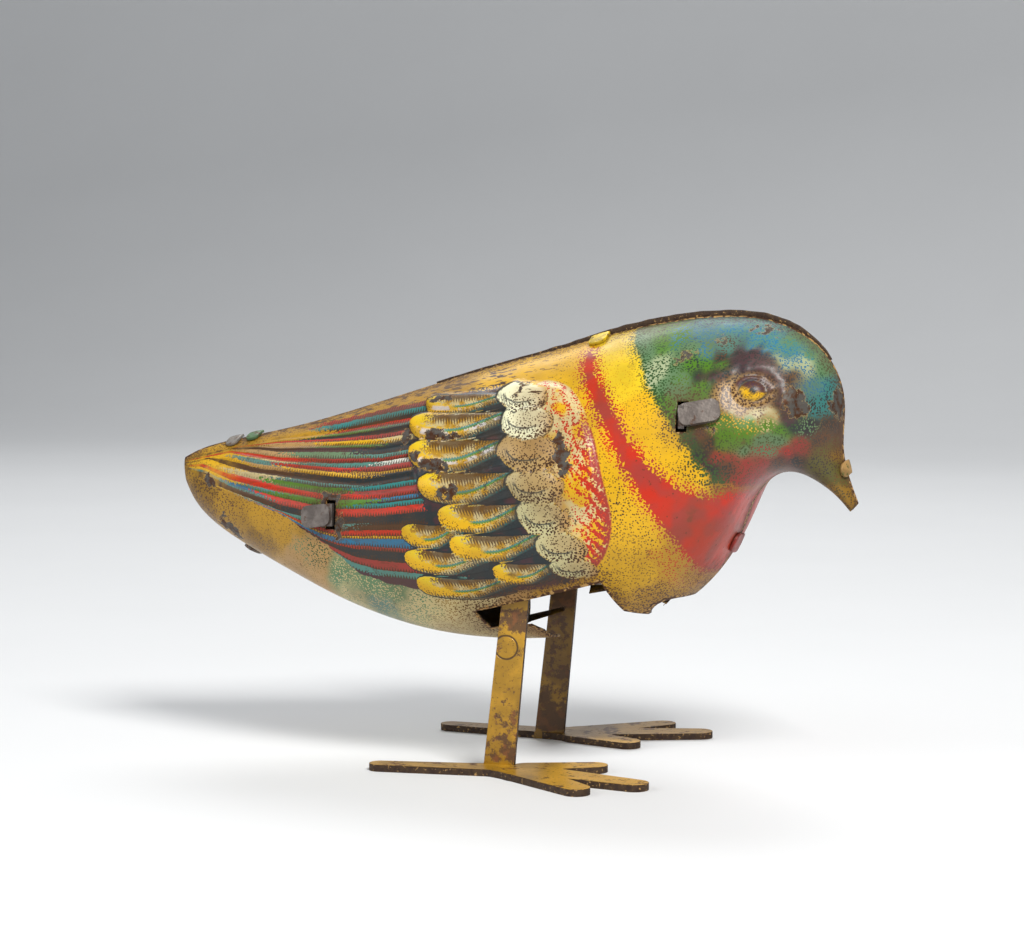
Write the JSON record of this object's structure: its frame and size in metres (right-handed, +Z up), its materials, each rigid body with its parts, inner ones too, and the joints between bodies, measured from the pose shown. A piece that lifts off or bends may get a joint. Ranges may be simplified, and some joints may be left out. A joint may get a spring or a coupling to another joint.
{
  "type": "wind-up tin bird toy",
  "caption": "Clockwork tin bird of two printed half shells on a gear train, with a winding key and two hopping strip legs.",
  "frame": {"origin": "on the floor, in the middle of the toy's length and width", "axes": "+X towards the beak, +Y to the bird's left, +Z up"},
  "size_m": [0.0986, 0.0546, 0.0632],
  "materials": {
    "printed_tin": "printed, semi-gloss, worn",
    "frame_steel": "dull, lightly rusted",
    "key_steel": "tinned, worn",
    "gear_brass": "dull",
    "spring_steel": "blued",
    "leg_paint": "gold lacquer with rust"
  },
  "bodies": {
    "bird": {"right_shell": "printed_tin", "left_shell": "printed_tin", "right_motor_plate": "frame_steel", "left_motor_plate": "frame_steel", "rear_pillar": "frame_steel", "front_pillar": "frame_steel", "upper_pillar": "frame_steel", "mainspring": "spring_steel"},
    "winder": {"winding_arbor": "frame_steel", "key": "key_steel", "ratchet_wheel": "frame_steel"},
    "first_wheel": {"great_wheel": "gear_brass", "click_stud": "frame_steel", "click_spring": "spring_steel"},
    "pawl": {"click": "frame_steel"},
    "second_shaft": {"second_arbor": "frame_steel", "second_pinion": "frame_steel", "second_wheel": "gear_brass"},
    "third_shaft": {"third_arbor": "frame_steel", "third_pinion": "frame_steel", "eccentric": "frame_steel"},
    "legs": {"leg_shaft": "frame_steel", "leg_yoke": "frame_steel", "right_leg_spacer": "frame_steel", "left_leg_spacer": "frame_steel", "right_leg": "leg_paint", "left_leg": "leg_paint"}
  },
  "joints": [
    {"name": "key_turn", "type": "hinge", "parent": "bird", "child": "winder", "pos_m": [-0.0059, 0, 0.0385], "axis": [0, 1, 0], "continuous": true},
    {"name": "great_wheel_turn", "type": "hinge", "parent": "bird", "child": "first_wheel", "pos_m": [-0.0059, 0, 0.0385], "axis": [0, 1, 0], "continuous": true},
    {"name": "click_lift", "type": "hinge", "parent": "first_wheel", "child": "pawl", "pos_m": [-0.00644, 0, 0.04468], "axis": [0, -1, 0], "range_deg": [0, 12], "stiffness_Nm_per_rad": 0.0001, "springref_deg": -5.73},
    {"name": "second_shaft_turn", "type": "hinge", "parent": "bird", "child": "second_shaft", "pos_m": [0.00582, 0, 0.04527], "axis": [0, 1, 0], "continuous": true},
    {"name": "third_shaft_turn", "type": "hinge", "parent": "bird", "child": "third_shaft", "pos_m": [0.01291, 0, 0.03817], "axis": [0, 1, 0], "continuous": true},
    {"name": "legs_swing", "type": "hinge", "parent": "bird", "child": "legs", "pos_m": [0.0052, 0, 0.0305], "axis": [0, 1, 0], "range_deg": [-5, 5]}
  ],
  "couplings": [
    {"joint": "second_shaft_turn", "follows": "great_wheel_turn", "ratio": -4.4},
    {"joint": "third_shaft_turn", "follows": "great_wheel_turn", "ratio": 17.6}
  ]
}
